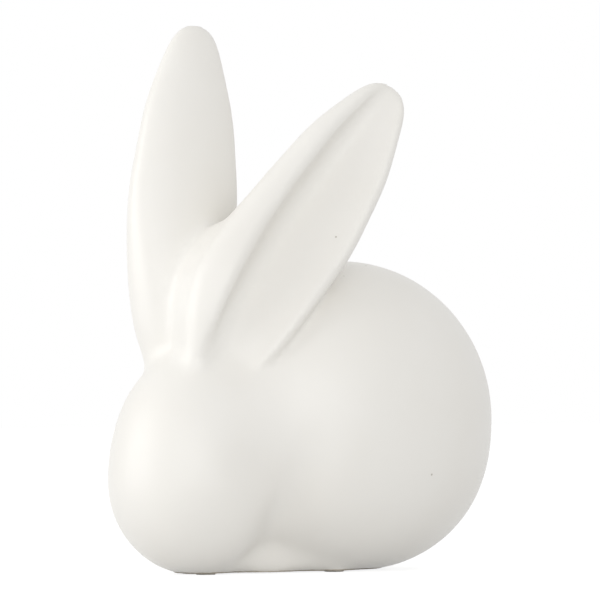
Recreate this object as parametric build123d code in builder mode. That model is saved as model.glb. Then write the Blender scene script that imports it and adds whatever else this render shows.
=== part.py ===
"""Ceramic rabbit figurine: a hollow cast head and body, two ears joined on, a base disc and felt pads.

The rabbit looks along -Y, its left side is +X and it stands on z = 0. All lengths are millimetres.
"""

import os
from math import cos, pi, radians, sin, sqrt

from build123d import *

os.makedirs("parts", exist_ok=True)

# Head: an egg whose crown is taller than its chin
head_half_width = 25.0
head_half_length = 26.5
head_crown = 40.0
head_chin = 28.7
head_middle = 28.2

# Body: a larger egg behind the head, fuller than an ellipse below its middle
body_half_width = 38.3
body_half_length = 49.8
body_back = 48.4
body_belly = 47.0
body_middle = 46.2
body_behind_head = 53.6
body_fullness = 2.25

# Softness of the crease between head and body, low at the foot and high at the nape
crease_blend = 5.0
nape_blend = 20.0
crease_top = 16.0
nape_start = 50.0

# Foot: a low flat-bottomed fill from under the head to under the body
front_foot_radius = 7.5
front_foot_behind_head = 1.0
rear_foot_radius = 14.0
rear_foot_behind_head = 42.0
foot_fill_height = 16.0

# Casting wall and the floor of the hollow
wall = 4.5
floor = 5.0

# Pour opening in the foot and the disc that closes it
pour_opening_radius = 7.5
pour_opening_behind_head = 23.0
pour_opening_depth = 30.0
disc_clearance = 0.15
disc_thickness = 3.5
disc_recess = 0.6
vent_radius = 1.5

# Felt pads let into shallow seats in the foot
pad_radius = 3.0
pad_thickness = 1.0
pad_seat_depth = 0.6
pad_side_clearance = 0.1
front_pads_behind_head = 1.5
front_pads_apart = 7.2
rear_pads_behind_head = 44.5
rear_pads_apart = 18.0

# Ears: one leaf shape in two poses, each root starting inside the head
ear_length = 118.3
ear_width = 40.0
ear_medial_bulge = 8.2
ear_lateral_rise = 6.5
ear_hollow_depth = 8.2
left_ear_root_aside = 8.6
left_ear_root_ahead = 6.2
left_ear_root_height = 51.5
left_ear_lean = 35.8
left_ear_splay = 2.4
left_ear_turn = 17.0
left_ear_sweep_aside = 6.3
left_ear_sweep_ahead = 4.1
left_ear_root_fill = 7.0
left_ear_root_lead = 8.6
right_ear_root_aside = 7.0
right_ear_root_ahead = 1.4
right_ear_root_height = 48.5
right_ear_lean = 4.9
right_ear_splay = 3.0
right_ear_turn = -6.0

# Leaf stations as shares: along the ear, width in front and behind, bulge, rim height, hollow depth
leaf_shares = (
    (0.00, 0.36, 0.36, 0.90, 0.90, 0.00),
    (0.12, 0.56, 0.56, 1.15, 1.02, 0.25),
    (0.24, 0.80, 0.71, 1.38, 1.10, 0.65),
    (0.36, 0.92, 0.77, 1.34, 1.06, 0.92),
    (0.49, 0.97, 0.82, 1.06, 1.00, 1.00),
    (0.62, 0.92, 0.80, 0.86, 0.92, 1.00),
    (0.74, 0.81, 0.72, 0.70, 0.80, 0.85),
    (0.85, 0.64, 0.57, 0.56, 0.62, 0.55),
    (0.93, 0.46, 0.43, 0.42, 0.44, 0.28),
    (0.98, 0.27, 0.27, 0.24, 0.24, 0.10),
)
# The laid-back ear at the same stations: its sweep outwards, then its root's fill inwards and lead forwards
root_shares = (
    (0.00, 0.00, 0.00),
    (0.26, 0.40, 0.60),
    (0.74, 0.85, 1.00),
    (1.00, 1.00, 0.80),
    (1.00, 0.75, 0.25),
    (1.00, 0.30, 0.00),
    (1.00, 0.08, 0.00),
    (1.00, 0.00, 0.00),
    (1.00, 0.00, 0.00),
    (1.00, 0.00, 0.00),
)
# Leaf outline as shares from front edge to rear edge: place across, rim height, hollow depth and root lead
lateral_shares = (
    (-0.500, 0.00, 0.00, 0.48),
    (-0.475, 0.55, 0.00, 0.34),
    (-0.405, 0.90, 0.00, 0.14),
    (-0.315, 1.00, 0.00, 0.00),
    (-0.252, 0.90, 0.44, 0.00),
    (-0.190, 0.85, 0.90, 0.00),
    (-0.110, 0.83, 1.06, 0.00),
    (0.020, 0.83, 0.92, 0.00),
    (0.180, 0.84, 0.62, 0.00),
    (0.330, 0.86, 0.27, 0.00),
    (0.430, 0.84, 0.03, 0.00),
    (0.482, 0.55, 0.00, 0.00),
    (0.500, 0.00, 0.00, 0.00),
)
# The same edge to edge on the side of the other ear: place across, bulge, root fill and root lead
medial_shares = (
    (0.500, 0.00, 0.00, 0.00),
    (0.470, 0.30, 0.25, 0.00),
    (0.370, 0.58, 0.65, 0.00),
    (0.210, 0.85, 0.95, 0.00),
    (0.020, 1.00, 1.00, 0.00),
    (-0.170, 0.98, 0.85, 0.45),
    (-0.330, 0.80, 0.50, 1.00),
    (-0.450, 0.48, 0.60, 0.78),
    (-0.500, 0.00, 0.00, 0.48),
)

# How finely the cast form is described
section_count = 18
outline_points = 20
halvings = 40

# Places along the length, with the origin under the middle of the whole rabbit
head_y = (head_half_length - body_behind_head - body_half_length) / 2
body_y = head_y + body_behind_head
nose_y = head_y - head_half_length
tail_y = body_y + body_half_length


def ease(value, start, end):
    """Rise smoothly from 0 to 1 while the value goes from start to end."""
    share = min(max((value - start) / (end - start), 0), 1)
    return share * share * (3 - 2 * share)


def outside_egg(point, middle, half_sizes, fullness):
    """Say how far a point lies outside an egg, along the line from its middle; negative means inside."""
    across, along, up = [p - m for p, m in zip(point, middle)]
    half_width, half_length, half_height = half_sizes
    level = sqrt((across / half_width) ** 2 + (along / half_length) ** 2)
    scaled = (level**fullness + abs(up / half_height) ** fullness) ** (1 / fullness)
    return sqrt(across**2 + along**2 + up**2) * (1 - 1 / scaled)


def blended(first, second, softness):
    """Join two distances with a soft crease of the given size."""
    overlap = max(softness - abs(first - second), 0)
    return min(first, second) - overlap**2 / (4 * softness)


def outside_rabbit(point, inset):
    """Say how far a point lies outside the head and body, both drawn in by the inset."""
    height = point[2]
    crown = head_crown if height > head_middle else head_chin
    back = body_back if height > body_middle else body_belly
    fullness = 2 if height > body_middle else body_fullness
    head_sizes = [size - inset for size in (head_half_width, head_half_length, crown)]
    body_sizes = [size - inset for size in (body_half_width, body_half_length, back)]
    head = outside_egg(point, (0, head_y, head_middle), head_sizes, 2)
    body = outside_egg(point, (0, body_y, body_middle), body_sizes, fullness)
    high = ease(height, crease_top, nape_start)
    return blended(head, body, crease_blend + (nape_blend - crease_blend) * high)


def outline_across(y, inset):
    """Find the outline across the rabbit at one place, from its left side round, as X and Z points."""
    middle = head_middle + (body_middle - head_middle) * ease(y, head_y, body_y)
    points = []
    for step in range(outline_points):
        angle = 2 * pi * step / outline_points
        inside = 0
        outside = body_half_width + body_back
        for _ in range(halvings):
            reach = (inside + outside) / 2
            point = (reach * cos(angle), y, middle + reach * sin(angle))
            if outside_rabbit(point, inset) < 0:
                inside = reach
            else:
                outside = reach
        points.append((inside * cos(angle), middle + inside * sin(angle)))
    return points


def closed_curve(points):
    """Draw a smooth closed curve with its points spread evenly along it."""
    count = len(points)
    return Edge.make_spline(points, periodic=True, parameters=[step / count for step in range(count + 1)])


def places_along(points):
    """Add up the straight distances from point to point, starting at 0."""
    places = [0]
    for (x, y), (next_x, next_y) in zip(points, points[1:]):
        places.append(places[-1] + sqrt((next_x - x) ** 2 + (next_y - y) ** 2))
    return places


def leaf_curve(points, spread, start, end):
    """Draw a smooth curve through points at the given shares of its length, leaving and arriving upright."""
    speed = places_along(points)[-1]
    ends = [Vector(0, start * speed), Vector(0, end * speed)]
    return Edge.make_spline(points, tangents=ends, parameters=spread, scale=False)


def cast_sections(inset):
    """Make the sections of the cast form from tail to nose, ending in a point at each."""
    front = nose_y + inset
    rear = tail_y - inset
    sections = [Vertex(0, rear, body_middle)]
    for step in range(1, section_count):
        y = rear - (rear - front) * (1 - cos(pi * step / section_count)) / 2
        with BuildSketch(Plane.XZ.offset(-y)) as section:
            with BuildLine():
                add(closed_curve(outline_across(y, inset)))
            make_face()
        sections.append(section.sketch)
    sections.append(Vertex(0, front, head_middle))
    return sections


with BuildPart() as outer_form:
    loft(sections=cast_sections(0))

foot_height = pad_thickness - pad_seat_depth

with BuildPart() as foot_fill:
    with BuildSketch(Plane.XY.offset(foot_height)):
        with Locations((0, head_y + front_foot_behind_head)):
            Circle(front_foot_radius)
        with Locations((0, head_y + rear_foot_behind_head)):
            Circle(rear_foot_radius)
        make_hull()
    extrude(amount=foot_fill_height)

with BuildPart() as hollow_form:
    loft(sections=cast_sections(wall))
    split(bisect_by=Plane.XY.offset(foot_height + floor), keep=Keep.TOP)

pour_opening_y = head_y + pour_opening_behind_head
pad_places = {
    "front_left_pad": (front_pads_apart / 2, head_y + front_pads_behind_head),
    "front_right_pad": (-front_pads_apart / 2, head_y + front_pads_behind_head),
    "rear_left_pad": (rear_pads_apart / 2, head_y + rear_pads_behind_head),
    "rear_right_pad": (-rear_pads_apart / 2, head_y + rear_pads_behind_head),
}


def leaf_edges(side, station, fill, lead):
    """Give the points of one section of the leaf: its lateral edge, then its medial edge back again."""
    front, rear, bulge, rim, hollow = station
    lateral = []
    for across, rim_share, hollow_share, lead_share in lateral_shares:
        rise = rim * rim_share * ear_lateral_rise - hollow * hollow_share * ear_hollow_depth
        place = across * ear_width * (front if across < 0 else rear) - lead * lead_share
        lateral.append((place, -side * rise))
    medial = []
    for across, bulge_share, fill_share, lead_share in medial_shares:
        rise = bulge * bulge_share * ear_medial_bulge + fill * fill_share
        place = across * ear_width * (front if across < 0 else rear) - lead * lead_share
        medial.append((place, side * rise))
    return lateral, medial


widest_station = max(leaf_shares, key=lambda station: station[1] + station[2])
widest_places = [places_along(points) for points in leaf_edges(1, widest_station[1:], 0, 0)]
lateral_spread, medial_spread = [[place / places[-1] for place in places] for places in widest_places]


def ear_leaf(side, start, lean, splay, turn, sweep, fill, lead):
    """Make the sections of one ear from root to tip, side being 1 for the left ear and -1 for the right."""
    axis = Vector(side * sin(splay), sin(lean) * cos(splay), cos(lean) * cos(splay))
    straight_back = Vector(0, cos(lean), -sin(lean))
    rearward = straight_back * cos(turn) - axis.cross(straight_back) * side * sin(turn)
    sections = []
    for (along, *station), (sweep_share, fill_share, lead_share) in zip(leaf_shares, root_shares):
        lateral, medial = leaf_edges(side, station, fill * fill_share, lead * lead_share)
        middle = start + axis * along * ear_length + sweep * sweep_share
        with BuildSketch(Plane(middle, rearward, axis)) as section:
            with BuildLine():
                add(leaf_curve(lateral, lateral_spread, -side, side))
                add(leaf_curve(medial, medial_spread, side, -side))
            make_face()
        sections.append(section.sketch)
    sections.append(Vertex(*(start + axis * ear_length + sweep)))
    return sections


left_root = Vector(left_ear_root_aside, head_y - left_ear_root_ahead, left_ear_root_height)
left_angles = [radians(angle) for angle in (left_ear_lean, left_ear_splay, left_ear_turn)]
left_sweep = Vector(left_ear_sweep_aside, -left_ear_sweep_ahead, 0)
left_sections = ear_leaf(1, left_root, *left_angles, left_sweep, left_ear_root_fill, left_ear_root_lead)
right_root = Vector(-right_ear_root_aside, head_y - right_ear_root_ahead, right_ear_root_height)
right_angles = [radians(angle) for angle in (right_ear_lean, right_ear_splay, right_ear_turn)]
right_sections = ear_leaf(-1, right_root, *right_angles, Vector(0, 0, 0), 0, 0)

with BuildPart() as body_shell:
    add(outer_form.part)
    split(bisect_by=Plane.XY.offset(foot_height), keep=Keep.TOP)
    add(foot_fill.part)
    add(hollow_form.part, mode=Mode.SUBTRACT)
    with Locations((0, pour_opening_y, foot_height)):
        Cylinder(pour_opening_radius, 2 * pour_opening_depth, mode=Mode.SUBTRACT)
    for x, y in pad_places.values():
        with Locations((x, y, foot_height)):
            Cylinder(pad_radius + pad_side_clearance, 2 * pad_seat_depth, mode=Mode.SUBTRACT)
body_shell.part.label = "body_shell"
export_step(body_shell.part, "parts/body_shell.step")

with BuildPart() as left_ear:
    loft(sections=left_sections)
    split(bisect_by=Plane.YZ, keep=Keep.TOP)
    add(outer_form.part, mode=Mode.SUBTRACT)
left_ear.part.label = "left_ear"
export_step(left_ear.part, "parts/left_ear.step")

with BuildPart() as right_ear:
    loft(sections=right_sections)
    split(bisect_by=Plane.YZ, keep=Keep.BOTTOM)
    add(outer_form.part, mode=Mode.SUBTRACT)
right_ear.part.label = "right_ear"
export_step(right_ear.part, "parts/right_ear.step")

with BuildPart() as base_disc:
    with BuildSketch(Plane.XY.offset(foot_height + disc_recess)):
        with Locations((0, pour_opening_y)):
            Circle(pour_opening_radius - disc_clearance)
            Circle(vent_radius, mode=Mode.SUBTRACT)
    extrude(amount=disc_thickness)
base_disc.part.label = "base_disc"
export_step(base_disc.part, "parts/base_disc.step")

for name, (x, y) in pad_places.items():
    with BuildPart() as pad:
        with BuildSketch(Plane.XY):
            with Locations((x, y)):
                Circle(pad_radius)
        extrude(amount=pad_thickness)
    pad.part.label = name
    export_step(pad.part, f"parts/{name}.step")
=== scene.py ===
# %% [markdown]
# # A glazed ceramic rabbit
#
# The real figurine is a hollow slip casting of a head and a body, with two ears luted on before the
# glaze. The glaze hides every seam, so the picture shows one soft white surface. This lesson loads the
# measured solids, grows one smooth glazed skin over them, cuts that skin into the same three castings,
# and then adds the clay disc, the felt pads, the finishes, the light and the camera.

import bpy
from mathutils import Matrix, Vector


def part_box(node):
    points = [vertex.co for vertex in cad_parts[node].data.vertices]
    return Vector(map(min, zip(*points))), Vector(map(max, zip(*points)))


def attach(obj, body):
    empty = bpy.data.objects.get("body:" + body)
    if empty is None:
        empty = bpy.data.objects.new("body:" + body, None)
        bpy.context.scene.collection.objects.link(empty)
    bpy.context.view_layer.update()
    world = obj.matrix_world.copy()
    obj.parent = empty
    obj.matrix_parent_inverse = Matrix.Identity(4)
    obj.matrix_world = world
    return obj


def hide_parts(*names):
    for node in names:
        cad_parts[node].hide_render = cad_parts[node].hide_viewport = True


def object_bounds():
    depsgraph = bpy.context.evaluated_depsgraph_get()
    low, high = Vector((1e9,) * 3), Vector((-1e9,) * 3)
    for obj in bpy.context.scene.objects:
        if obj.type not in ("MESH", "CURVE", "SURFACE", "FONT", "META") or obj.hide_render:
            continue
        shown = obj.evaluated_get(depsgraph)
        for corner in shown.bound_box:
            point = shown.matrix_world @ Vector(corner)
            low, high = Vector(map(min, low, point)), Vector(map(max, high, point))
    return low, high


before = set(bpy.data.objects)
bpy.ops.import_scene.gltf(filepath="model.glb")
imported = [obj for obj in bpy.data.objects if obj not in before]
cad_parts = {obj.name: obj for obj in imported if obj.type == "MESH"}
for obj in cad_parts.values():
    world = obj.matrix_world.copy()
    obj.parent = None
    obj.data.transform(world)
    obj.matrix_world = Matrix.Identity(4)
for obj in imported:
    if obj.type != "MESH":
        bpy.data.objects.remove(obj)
cad_low, cad_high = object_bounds()
print("solids from", tuple(round(v, 4) for v in cad_low), "to", tuple(round(v, 4) for v in cad_high))

# %% Bring in the tools
from math import cos, radians, sin

import bmesh
import bpy
from mathutils import Matrix, Vector, noise
from mathutils.bvhtree import BVHTree

millimetre = 0.001

# %% [markdown]
# ## Three small helpers
#
# A bmesh is Blender's editable mesh. Each piece is shaped as a bmesh and then turned into an object
# once. The object stays at the origin and the place is in the mesh, so patterns on Object coordinates
# do not slide.

# %% Turn a bmesh into an object, and make modifiers permanent


def new_piece(name, form):
    """Put a finished bmesh into the scene as an object at the origin."""
    mesh = bpy.data.meshes.new(name)
    form.to_mesh(mesh)
    form.free()
    piece = bpy.data.objects.new(name, mesh)
    bpy.context.scene.collection.objects.link(piece)
    return piece


def settle(piece):
    """Replace a piece's mesh by what its modifiers make of it."""
    depsgraph = bpy.context.evaluated_depsgraph_get()
    mesh = bpy.data.meshes.new_from_object(piece.evaluated_get(depsgraph))
    mesh.name = piece.name
    piece.modifiers.clear()
    piece.data = mesh
    return piece


def wrap_evenly(piece, voxel):
    """Add a voxel remesh, which wraps one even grid round all that touches."""
    wrap = piece.modifiers.new("wrap", "REMESH")
    wrap.mode = "VOXEL"
    wrap.voxel_size = voxel


# %% [markdown]
# ## One casting from three solids
#
# On the bench the ears are stuck to the leather-hard shell with wet slip, and a sponge softens every
# joint. Booleans would keep knife-sharp seams. A voxel remesh instead wraps one even grid of small
# faces round everything that touches, and an even grid is what smoothing needs afterwards. Balls of
# slip are pressed into the gap between the two ears first, and the same remesh takes them into the
# skin.

# %% Wrap one even skin round the shell and the ears
merge_distance = 0.001 * millimetre
skin_voxel = 0.8 * millimetre
speck_points = 100
ball_subdivisions = 4
# Each ball of slip, in millimetres: its place across, lengthwise and up, then its radius.
slip_balls = (
    (4.2, -38.6, 68, 9.0),
    (4.4, -39.2, 74, 9.0),
    (4.6, -39.3, 80, 9.0),
    (4.6, -38.4, 86, 8.6),
    (4.4, -36.6, 92, 7.6),
    (4.0, -34.2, 97, 6.2),
    (3.8, -31.6, 101.5, 4.8),
)


def copy_of(node):
    """Copy a solid's triangles and join the ones that share corners."""
    form = bmesh.new()
    form.from_mesh(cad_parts[node].data)
    bmesh.ops.remove_doubles(form, verts=form.verts, dist=merge_distance)
    return form


def joined_copy(*nodes):
    """Copy several solids into one bmesh."""
    form = bmesh.new()
    for node in nodes:
        part = copy_of(node)
        mesh = bpy.data.meshes.new(node)
        part.to_mesh(mesh)
        part.free()
        form.from_mesh(mesh)
        bpy.data.meshes.remove(mesh)
    return form


pressed = joined_copy("body_shell", "left_ear", "right_ear")
for across, along, up, radius in slip_balls:
    place = Matrix.Translation(Vector((across, along, up)) * millimetre)
    bmesh.ops.create_icosphere(
        pressed, subdivisions=ball_subdivisions, radius=radius * millimetre, matrix=place
    )
casting = new_piece("casting", pressed)
wrap_evenly(casting, skin_voxel)
settle(casting)


def drop_specks(piece, smallest):
    """Delete every loose island of fewer points than the smallest that counts."""
    form = bmesh.new()
    form.from_mesh(piece.data)
    form.verts.ensure_lookup_table()
    seen = set()
    specks = []
    for start in form.verts:
        if start in seen:
            continue
        island = {start}
        to_visit = [start]
        while to_visit:
            point = to_visit.pop()
            for edge in point.link_edges:
                neighbour = edge.other_vert(point)
                if neighbour not in island:
                    island.add(neighbour)
                    to_visit.append(neighbour)
        seen |= island
        if len(island) < smallest:
            specks.extend(island)
    bmesh.ops.delete(form, geom=specks, context="VERTS")
    form.to_mesh(piece.data)
    form.free()
    return len(specks)


dropped = drop_specks(casting, speck_points)
print("casting has", len(casting.data.polygons), "faces,", dropped, "points of specks dropped")

# %% [markdown]
# ## Sponge the joints
#
# A sponge only rounds what it touches. The Smooth modifier does the same where a vertex group gives it
# weight. The weight of a point comes from how near it is to two of the solids at once: a point on the
# ear that is also close to the head lies beside the joint. In front the roots melt into the brow.
# Behind, the thin rear rim of the laid-back ear stands over the shoulder, so the sponge only touches it
# lightly there. The foot is rounded by height, except round the pads and the disc, which need their
# flat seats.

# %% Weigh each point by how near it is to a joint
root_softness = 13.0 * millimetre
web_softness = 13.0 * millimetre
brow_y = -40 * millimetre
shoulder_y = -27 * millimetre
shoulder_share = 0.12
foot_softness = 22 * millimetre
seat_margin = 1.2 * millimetre
seat_softness = 5 * millimetre


def nearness(distance, reach):
    """Fall smoothly from 1 at no distance to 0 at the reach."""
    share = min(max(1 - distance / reach, 0), 1)
    return share * share * (3 - 2 * share)


def surface_of(node):
    """Make a search tree that finds the nearest point of a solid."""
    form = copy_of(node)
    tree = BVHTree.FromBMesh(form)
    form.free()
    return tree


shell_surface = surface_of("body_shell")
left_surface = surface_of("left_ear")
right_surface = surface_of("right_ear")
farthest = 2 * web_softness


def gap_to(surface, point):
    """Give the distance from a point to a solid, or a large one when it is far off."""
    found = surface.find_nearest(point, farthest)
    return farthest if found[3] is None else found[3]


seats = []
for node in ("base_disc", "front_left_pad", "front_right_pad", "rear_left_pad", "rear_right_pad"):
    low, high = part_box(node)
    seats.append(((low + high) / 2, (high.x - low.x) / 2 + seat_margin))
foot_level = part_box("body_shell")[0].z


def foot_weight(point):
    """Give full weight at the foot, less above it, and none on a seat."""
    weight = nearness(point.z - foot_level, foot_softness)
    for middle, radius in seats:
        off_seat = max((point.xy - middle.xy).length - radius, 0)
        weight *= 1 - nearness(off_seat + point.z - foot_level, seat_softness)
    return weight


sponge = casting.vertex_groups.new(name="sponge")
for vertex in casting.data.vertices:
    point = vertex.co
    to_left = gap_to(left_surface, point)
    to_right = gap_to(right_surface, point)
    to_shell = gap_to(shell_surface, point) if min(to_left, to_right) < farthest else farthest
    root = nearness(max(to_shell, min(to_left, to_right)), root_softness)
    ahead = nearness(max(point.y - brow_y, 0), shoulder_y - brow_y)
    root *= shoulder_share + (1 - shoulder_share) * ahead
    web = nearness(max(to_left, to_right), web_softness)
    weight = max(root, web, foot_weight(point))
    if weight > 0:
        sponge.add([vertex.index], weight, "REPLACE")
print("joints weighed")

# %% Smooth the joints, and lightly the rest
joint_passes = 130
overall_passes = 6
step_share = 0.5
rounding = casting.modifiers.new("rounding", "SMOOTH")
rounding.factor = step_share
rounding.iterations = joint_passes
rounding.vertex_group = sponge.name
polish = casting.modifiers.new("polish", "SMOOTH")
polish.factor = step_share
polish.iterations = overall_passes
settle(casting)
print("smoothed skin has", len(casting.data.polygons), "faces")

# %% [markdown]
# ## Cut the skin along the luted seams
#
# The three castings stay three pieces. The cutting form is the shell with its pour opening plugged,
# grown a little, so its surface runs through the soft joints. What lies inside it is the head and body,
# what lies outside is the ears, and the plane through the middle of the rabbit parts one ear from the
# other.

# %% Make the cutting form
seam_rise = 1.6 * millimetre
cut_voxel = 1.5 * millimetre
plug_radius = 9.0 * millimetre
plug_depth = 4.0 * millimetre
plug_segments = 32
block_top = 45.0 * millimetre
block_margin = 6.0 * millimetre

cut = joined_copy("body_shell", "base_disc")
disc_low, disc_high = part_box("base_disc")
disc_middle = (disc_low + disc_high) / 2
plug_place = Matrix.Translation(Vector((disc_middle.x, disc_middle.y, disc_low.z + plug_depth / 2)))
bmesh.ops.create_cone(
    cut,
    cap_ends=True,
    segments=plug_segments,
    radius1=plug_radius,
    radius2=plug_radius,
    depth=plug_depth,
    matrix=plug_place,
)
block_low = cad_low - Vector((block_margin,) * 3)
block_high = Vector((cad_high.x + block_margin, cad_high.y + block_margin, block_top))
block_place = Matrix.LocRotScale((block_low + block_high) / 2, None, block_high - block_low)
bmesh.ops.create_cube(cut, size=1, matrix=block_place)
cutting_form = new_piece("cutting_form", cut)
wrap_evenly(cutting_form, cut_voxel)
grow = cutting_form.modifiers.new("grow", "DISPLACE")
grow.strength = seam_rise
grow.mid_level = 0
settle(cutting_form)
print("cutting form has", len(cutting_form.data.polygons), "faces")

# %% Part the head and body from the ears


def cut_piece(name, operation):
    """Copy the casting and keep what lies inside or outside the cutting form."""
    piece = bpy.data.objects.new(name, casting.data.copy())
    bpy.context.scene.collection.objects.link(piece)
    part = piece.modifiers.new("part", "BOOLEAN")
    part.solver = "MANIFOLD"
    part.operation = operation
    part.object = cutting_form
    return settle(piece)


head_and_body = cut_piece("glazed_head_and_body", "INTERSECT")
both_ears = cut_piece("both_ears", "DIFFERENCE")
print("head and body", len(head_and_body.data.polygons), "faces, ears", len(both_ears.data.polygons))
for piece in (head_and_body, both_ears):
    drop_specks(piece, speck_points)

# %% Part the left ear from the right


def half_of(piece, name, side):
    """Keep the half of a piece on one side of the middle plane and close the cut."""
    form = bmesh.new()
    form.from_mesh(piece.data)
    away = (-side, 0, 0)
    everything = [*form.verts, *form.edges, *form.faces]
    made = bmesh.ops.bisect_plane(
        form, geom=everything, plane_co=(0, 0, 0), plane_no=away, clear_outer=True
    )
    rim = [element for element in made["geom_cut"] if isinstance(element, bmesh.types.BMEdge)]
    bmesh.ops.triangle_fill(form, edges=rim, use_beauty=True, normal=away)
    bmesh.ops.recalc_face_normals(form, faces=form.faces)
    return new_piece(name, form)


left_ear = half_of(both_ears, "glazed_left_ear", 1)
right_ear = half_of(both_ears, "glazed_right_ear", -1)
castings = (head_and_body, left_ear, right_ear)

# %% [markdown]
# ## Fewer faces where nobody looks
#
# The hollow inside the body takes almost as many faces as the outside, and only a glance through the
# vent would show it. The Decimate modifier joins faces where a vertex group lets it, so the outside
# keeps its even grid. A point belongs to the hollow when its surface faces the line through the middle
# of the rabbit.

# %% Thin out the hollow
kept_share = 0.62
thinning_pull = 10
head_middle = Vector((0, -37.5 * millimetre, 28 * millimetre))
body_middle = Vector((0, 15 * millimetre, 46 * millimetre))
hollow_group = head_and_body.vertex_groups.new(name="hollow")
spine = body_middle - head_middle
for vertex in head_and_body.data.vertices:
    along = min(max((vertex.co - head_middle).dot(spine) / spine.length_squared, 0), 1)
    outward = vertex.co - head_middle - spine * along
    if outward.dot(vertex.normal) < 0:
        hollow_group.add([vertex.index], 1, "REPLACE")
thin = head_and_body.modifiers.new("thin", "DECIMATE")
thin.ratio = kept_share
thin.vertex_group = hollow_group.name
thin.vertex_group_factor = thinning_pull
settle(head_and_body)
triangles = sum(len(face.vertices) - 2 for face in head_and_body.data.polygons)
print("head and body keep", triangles, "triangles")

# %% [markdown]
# ## Hide the seams in the shading
#
# Each casting now ends in a hidden cut face, and smooth shading would bend towards it and draw a thin
# line along the seam. The Data Transfer modifier gives every corner the shading direction of the uncut
# skin instead, so light runs over the seam as it runs over real glaze.

# %% Shade the castings as one skin
casting.data.shade_smooth()
for piece in castings:
    drop_specks(piece, speck_points)
    piece.data.shade_smooth()
    shading = piece.modifiers.new("shading", "DATA_TRANSFER")
    shading.object = casting
    shading.use_loop_data = True
    shading.data_types_loops = {"CUSTOM_NORMAL"}
    shading.loop_mapping = "POLYINTERP_NEAREST"
    settle(piece)
    print(piece.name, len(piece.data.polygons), "faces")
for scrap in (casting, cutting_form, both_ears):
    bpy.data.objects.remove(scrap)

# %% [markdown]
# ## Flatten the foot
#
# Before firing, the foot is rubbed flat on a wet board. Every point within a hair of the foot goes onto
# its plane, which leaves the pads proud of the clay by the height that the solids give them.

# %% Rub the foot flat
foot_rub = 0.25 * millimetre
for vertex in head_and_body.data.vertices:
    if vertex.co.z < foot_level + foot_rub:
        vertex.co.z = foot_level
print("foot at", round(foot_level / millimetre, 2), "mm")

# %% [markdown]
# ## Felt pads
#
# Four punched discs of pressed wool keep the clay off a polished shelf. Felt is cut, not moulded, so
# its rim is slightly rough and its faces are soft. Each pad is a short cylinder with a rounded edge,
# cut into small faces, whose points are then pressed in a little by a noise pattern, never outwards, so
# the pad keeps its size.

# %% Make the four pads
pad_segments = 48
pad_rings = 6
pad_edge = 0.15 * millimetre
edge_segments = 2
pad_fibre = 0.06 * millimetre
fibre_size = 0.35 * millimetre


def felt_pad(node):
    """Make one felt disc in the place of its solid."""
    low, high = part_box(node)
    radius = (high.x - low.x) / 2
    form = bmesh.new()
    bmesh.ops.create_cone(
        form,
        cap_ends=True,
        segments=pad_segments,
        radius1=radius,
        radius2=radius,
        depth=high.z - low.z,
        matrix=Matrix.Translation((low + high) / 2),
    )
    rims = [edge for edge in form.edges if abs(edge.verts[0].co.z - edge.verts[1].co.z) < merge_distance]
    bmesh.ops.bevel(
        form, geom=rims, offset=pad_edge, affect="EDGES", segments=edge_segments, profile=0.5, material=-1
    )
    for _ in range(pad_rings):
        caps = [face for face in form.faces if len(face.verts) == pad_segments]
        bmesh.ops.inset_region(form, faces=caps, thickness=radius / (pad_rings + 1))
    form.normal_update()
    for vertex in form.verts:
        roughness = (1 + noise.noise(vertex.co / fibre_size)) / 2
        vertex.co -= vertex.normal * pad_fibre * min(max(roughness, 0), 1)
    pad = new_piece("felt_" + node, form)
    pad.data.shade_smooth()
    return pad


pad_nodes = ("front_left_pad", "front_right_pad", "rear_left_pad", "rear_right_pad")
pads = {node: felt_pad(node) for node in pad_nodes}
print("pads have", len(pads["front_left_pad"].data.polygons), "faces each")

# %% [markdown]
# ## Finishes
#
# A finish is a node tree. Sums on values are written as plain arithmetic, because a small class wraps
# each socket and turns +, - and * into Math nodes. Every other node comes from one method.

# %% Write shader sums as arithmetic


class Value:
    """A number or colour that changes over a surface."""

    def __init__(self, finish, socket):
        self.finish = finish
        self.socket = socket

    def combine(self, operation, first, second):
        """Put two numbers through a Math node."""
        return self.finish.node("ShaderNodeMath", {"operation": operation}, {0: first, 1: second})

    def __add__(self, other):
        return self.combine("ADD", self, other)

    def __sub__(self, other):
        return self.combine("SUBTRACT", self, other)

    def __rsub__(self, other):
        return self.combine("SUBTRACT", other, self)

    def __mul__(self, other):
        return self.combine("MULTIPLY", self, other)

    __radd__ = __add__
    __rmul__ = __mul__


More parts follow.
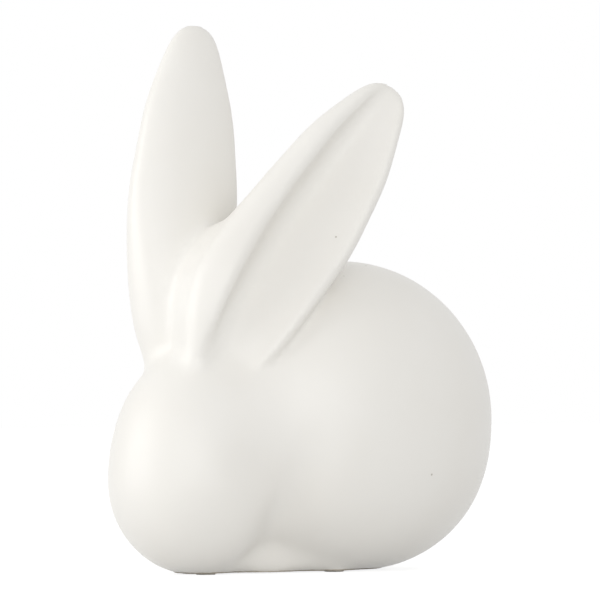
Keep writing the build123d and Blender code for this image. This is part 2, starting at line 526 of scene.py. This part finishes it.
class Finish:
    """A material under construction."""

    def __init__(self, name, **constants):
        self.material = bpy.data.materials.new(name)
        self.material.use_nodes = True
        self.tree = self.material.node_tree
        self.shader = self.tree.nodes["Principled BSDF"]
        for socket, value in constants.items():
            label = socket.replace("_", " ").title().replace("Ior", "IOR")
            self.shader.inputs[label].default_value = value

    def node(self, kind, settings, sockets, output=0):
        """Add a node: its settings first, then a value or a link for each socket."""
        made = self.tree.nodes.new(kind)
        for setting, value in settings.items():
            if setting == "stops":
                ramp = made.color_ramp
                while len(ramp.elements) < len(value):
                    ramp.elements.new(0.5)
                for element, (position, level) in zip(ramp.elements, value):
                    element.position = position
                    element.color = (level, level, level, 1)
            else:
                setattr(made, setting, value)
        for socket, value in sockets.items():
            if isinstance(value, Value):
                self.tree.links.new(value.socket, made.inputs[socket])
            else:
                made.inputs[socket].default_value = value
        return Value(self, made.outputs[output])

    def place(self):
        """Give the place on the object, in metres."""
        return self.node("ShaderNodeTexCoord", {}, {}, "Object")

    def grain(self, size, detail=2, roughness=0.5):
        """Give a noise pattern whose patches have about this size."""
        sockets = {"Vector": self.place(), "Scale": 1 / size, "Detail": detail, "Roughness": roughness}
        return self.node("ShaderNodeTexNoise", {}, sockets)

    def band(self, value, *stops):
        """Bend a value along a ramp of positions and levels."""
        return self.node("ShaderNodeValToRGB", {"stops": stops}, {"Fac": value})

    def mixed(self, share, first, second):
        """Mix two colours by a share."""
        sockets = {"Factor": share, "A": first, "B": second}
        return self.node("ShaderNodeMix", {"data_type": "RGBA"}, sockets, "Result")

    def bumps(self, strength, distance, height):
        """Turn a height into the tilt of the surface."""
        sockets = {"Strength": strength, "Distance": distance, "Height": height}
        return self.node("ShaderNodeBump", {}, sockets, "Normal")

    def feed(self, **sockets):
        """Link values to the shader's sockets."""
        for socket, value in sockets.items():
            self.tree.links.new(value.socket, self.shader.inputs[socket.replace("_", " ").title()])
        return self.material


print("shader helpers ready")

# %% [markdown]
# ## The glaze
#
# The rabbit is dipped in a satin white glaze. It is warm white, a little warmer in soft clouds where it
# lies thin, and carries a few pinholes where gas left the clay. Under it the cast surface waves very
# slightly. The foot is wiped clean, so bare clay shows there. Two layers of the shader do this: a
# fairly rough body colour and a smoother clear coat. Only colour, roughness, coat weight and bump
# change over the surface.

# %% Mix the satin white glaze
glaze_white = (0.86, 0.842, 0.80, 1)
glaze_thin = (0.80, 0.765, 0.70, 1)
pinhole_brown = (0.42, 0.37, 0.31, 1)
clay_cream = (0.70, 0.64, 0.55, 1)
cloud_size = 30 * millimetre
cloud_warmth = 0.22
wave_size = 14 * millimetre
peel_size = 1.1 * millimetre
pinhole_cell = 17 * millimetre
pinhole_radius = 0.45 * millimetre
pinhole_stain = 0.75
foot_wipe = 1.2 * millimetre
rag_size = 3 * millimetre
rag_height = 0.6 * millimetre
satin_least = 0.42
satin_spread = 0.12
wiped_extra = 0.45
coat = 0.4
relief_height = 0.35 * millimetre
relief_strength = 0.35


def glaze(name):
    """Make the satin white glaze."""
    finish = Finish(name, coat_roughness=0.34, coat_ior=1.5, ior=1.45)
    clouds = finish.band(finish.grain(cloud_size, detail=3), (0.35, 0), (0.7, 1))
    colour = finish.mixed(clouds * cloud_warmth, glaze_white, glaze_thin)
    cells = {"Vector": finish.place(), "Scale": 1 / pinhole_cell, "Randomness": 1}
    cell = finish.node("ShaderNodeTexVoronoi", {"feature": "F1"}, cells)
    pinhole = finish.band(cell * (pinhole_cell / pinhole_radius), (0.55, 1), (1, 0))
    colour = finish.mixed(pinhole * pinhole_stain, colour, pinhole_brown)
    height = finish.node("ShaderNodeSeparateXYZ", {}, {"Vector": finish.place()}, "Z")
    ragged = height + finish.grain(rag_size) * rag_height
    wiped = finish.band(ragged * (0.5 / foot_wipe), (0.42, 1), (0.5, 0))
    colour = finish.mixed(wiped, colour, clay_cream)
    satin = finish.grain(wave_size) * satin_spread + satin_least
    waves = finish.grain(wave_size, detail=1)
    peel = finish.grain(peel_size, detail=1)
    relief = waves * 0.5 + peel * 0.03 - pinhole * 0.25
    return finish.feed(
        base_color=colour,
        roughness=satin + wiped * wiped_extra,
        coat_weight=coat - wiped * coat,
        normal=finish.bumps(relief_strength, relief_height, relief),
    )


satin_white = glaze("satin_white_glaze")
for piece in castings:
    piece.data.materials.clear()
    piece.data.materials.append(satin_white)
print("glaze on", len(castings), "castings")

# %% [markdown]
# ## Bare clay and felt
#
# The disc under the foot is never glazed: it is fired clay, chalky and faintly speckled. The felt is
# wool: many fine fibres, so it is rough all over, slightly mottled, and has the pale sheen of cloth.

# %% Mix the bare clay and the felt
speck_brown = (0.55, 0.48, 0.40, 1)
speck_size = 0.6 * millimetre
chalk_size = 0.8 * millimetre
chalk_height = 0.1 * millimetre
wool_dark = (0.58, 0.55, 0.50, 1)
wool_light = (0.74, 0.71, 0.66, 1)
wool_size = 0.25 * millimetre
wool_height = 0.08 * millimetre


def bare_clay():
    """Make chalky fired clay."""
    finish = Finish("bare_fired_clay", ior=1.4)
    speckle = finish.band(finish.grain(speck_size, detail=4), (0.45, 0), (0.72, 1))
    colour = finish.mixed(speckle * 0.5, clay_cream, speck_brown)
    chalk = finish.bumps(0.5, chalk_height, finish.grain(chalk_size))
    return finish.feed(base_color=colour, roughness=speckle * 0.1 + 0.8, normal=chalk)


def wool_felt():
    """Make pressed wool felt."""
    finish = Finish("pressed_wool_felt", sheen_weight=0.4, sheen_roughness=0.5)
    fibres = finish.grain(wool_size, detail=5, roughness=0.7)
    colour = finish.mixed(finish.band(fibres, (0.35, 0), (0.65, 1)), wool_dark, wool_light)
    nap = finish.bumps(0.6, wool_height, fibres)
    return finish.feed(base_color=colour, roughness=fibres * 0.1 + 0.88, normal=nap)


clay = bare_clay()
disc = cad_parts["base_disc"]
for slot in disc.material_slots:
    slot.material = clay
felt = wool_felt()
for pad in pads.values():
    pad.data.materials.append(felt)
print("clay and felt ready")

# %% [markdown]
# ## Put each glazed piece in place of its solid
#
# Each glazed casting rides on the one rigid body and hides the solid that it stands for.

# %% Attach the pieces to the frame
for piece, node, slot in (
    (head_and_body, "body_shell", "glazed_casting"),
    (left_ear, "left_ear", "glazed_ear"),
    (right_ear, "right_ear", "glazed_ear"),
):
    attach(piece, "root")
    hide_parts(node)
for node, pad in pads.items():
    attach(pad, "root")
    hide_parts(node)
print("pieces attached")

# %% [markdown]
# ## The table and the light
#
# The picture was taken in a white tent: light from everywhere, a little more from the left, and a
# background so bright that it is pure white. The world gives the even light. For rays that go straight
# to the camera, or that the gloss reflects, it is white instead, so the background never has to be
# brightened with lamps. The table glows for the same rays, and still takes the shadow of the rabbit.

# %% Lay the table
table_size = 6.0
table_form = bmesh.new()
bmesh.ops.create_grid(table_form, x_segments=1, y_segments=1, size=table_size / 2)
table = new_piece("table", table_form)


def seen_directly(finish):
    """Give 1 for rays from the camera, and for rays that gloss or glass sends on."""
    kinds = ("Is Camera Ray", "Is Glossy Ray", "Is Transmission Ray")
    camera, glossy, through = (finish.node("ShaderNodeLightPath", {}, {}, kind) for kind in kinds)
    return finish.node("ShaderNodeMath", {"operation": "MINIMUM"}, {0: camera + glossy + through, 1: 1})


table_glow = 0.85
table_grey = 0.8
table_shade = 0.30
table_finish = Finish("white_table", roughness=1.0, specular_ior_level=0)
direct = seen_directly(table_finish)
table_finish.shader.inputs["Emission Strength"].default_value = 1
table_finish.tree.links.new((direct * table_glow).socket, table_finish.shader.inputs["Emission Color"])
shown_grey = table_grey - direct * (table_grey - table_shade)
table_finish.tree.links.new(shown_grey.socket, table_finish.shader.inputs["Base Color"])
table.data.materials.append(table_finish.material)
print("table laid")

# %% Fill the tent with light
tent_strength = 0.70
world = bpy.data.worlds.new("white_tent")
bpy.context.scene.world = world
world.use_nodes = True


class Sky(Finish):
    """The world's shader, built with the same helpers."""

    def __init__(self, tree):
        self.tree = tree


sky = Sky(world.node_tree)
sky_direct = seen_directly(sky)
background = world.node_tree.nodes["Background"]
background.inputs["Strength"].default_value = 1
tent_light = sky_direct * (1 - tent_strength) + tent_strength
world.node_tree.links.new(tent_light.socket, background.inputs["Color"])

# %% [markdown]
# ## The camera
#
# The picture looks at the rabbit's left side from a little in front of it: 57 degrees round from the
# nose. The eye is low and far away, which a long lens shows as almost parallel lines. The camera stands
# level with the rabbit's brow and is aimed at the middle of the frame.

# %% Set the camera
head_y = -38.45 * millimetre
view_azimuth = radians(57)
camera_distance = 1300 * millimetre
camera_height = 60 * millimetre
frame_middle_aside = 31.5 * millimetre
frame_middle_height = 82.2 * millimetre
frame_width = 180 * millimetre
sensor_width = 36
nearest_seen = 0.01
farthest_seen = 20
toward_camera = Vector((sin(view_azimuth), -cos(view_azimuth), 0))
image_right = Vector((cos(view_azimuth), sin(view_azimuth), 0))
head_axis = Vector((0, head_y, 0))
eye = head_axis + toward_camera * camera_distance + Vector((0, 0, camera_height))
target = head_axis + image_right * frame_middle_aside + Vector((0, 0, frame_middle_height))
camera_data = bpy.data.cameras.new("camera")
camera_data.sensor_width = sensor_width
camera_data.lens = sensor_width * camera_distance / frame_width
camera_data.clip_start = nearest_seen
camera_data.clip_end = farthest_seen
camera = bpy.data.objects.new("camera", camera_data)
bpy.context.scene.collection.objects.link(camera)
camera.location = eye
camera.rotation_euler = (target - eye).to_track_quat("-Z", "Y").to_euler()
bpy.context.scene.camera = camera
print("lens", round(camera_data.lens), "mm at", round((target - eye).length, 3), "m")

# %% Hang the lamps


def soft_lamp(name, aside, toward, height, size, power):
    """Hang a square lamp, placed in the picture's own directions, and aim it at the frame's middle."""
    lamp_data = bpy.data.lights.new(name, "AREA")
    lamp_data.shape = "SQUARE"
    lamp_data.size = size
    lamp_data.energy = power
    lamp = bpy.data.objects.new(name, lamp_data)
    bpy.context.scene.collection.objects.link(lamp)
    lamp.location = target + image_right * aside + toward_camera * toward + Vector((0, 0, height))
    lamp.rotation_euler = (target - lamp.location).to_track_quat("-Z", "Y").to_euler()


soft_lamp("left_softbox", aside=-1.0, toward=0.25, height=0.15, size=0.8, power=4.6)
soft_lamp("front_softbox", aside=0.1, toward=1.1, height=0.10, size=0.9, power=4.4)
bpy.context.scene.view_settings.view_transform = "Standard"
print("lamps hung")
